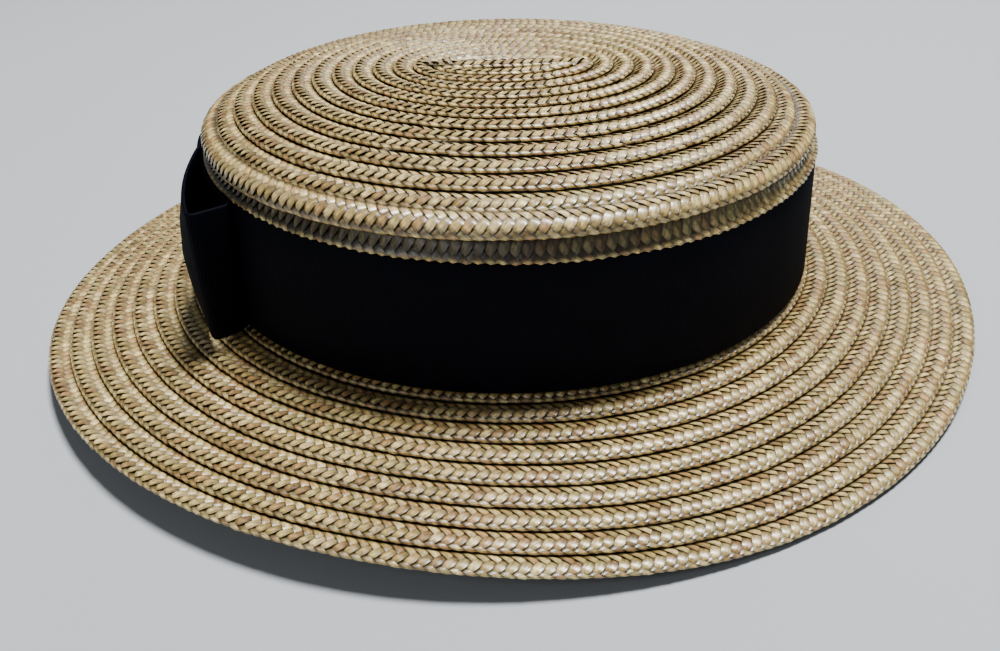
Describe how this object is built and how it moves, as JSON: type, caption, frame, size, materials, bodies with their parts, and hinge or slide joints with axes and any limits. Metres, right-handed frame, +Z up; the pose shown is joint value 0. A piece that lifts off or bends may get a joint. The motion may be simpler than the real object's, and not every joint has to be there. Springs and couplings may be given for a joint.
{
  "type": "straw boater",
  "caption": "Straw boater sewn from plaited braid, with a flat tip, straight sides, a gently waved brim, a dark ribbon band and a flat side bow.",
  "frame": {"origin": "on the surface that the hat rests on, under the middle of its outline", "axes": "+X from the side with the bow to the other side, along the longest extent; +Y to the back; +Z up"},
  "size_m": [0.3088, 0.2832, 0.0833],
  "materials": {
    "straw": "satin natural straw plait",
    "ribbon": "matt ribbed ribbon"
  },
  "bodies": {
    "root": {"crown": "straw", "brim": "straw", "band": "ribbon", "bow_loop_near": "ribbon", "bow_loop_far": "ribbon", "bow_knot": "ribbon"}
  },
  "joints": []
}
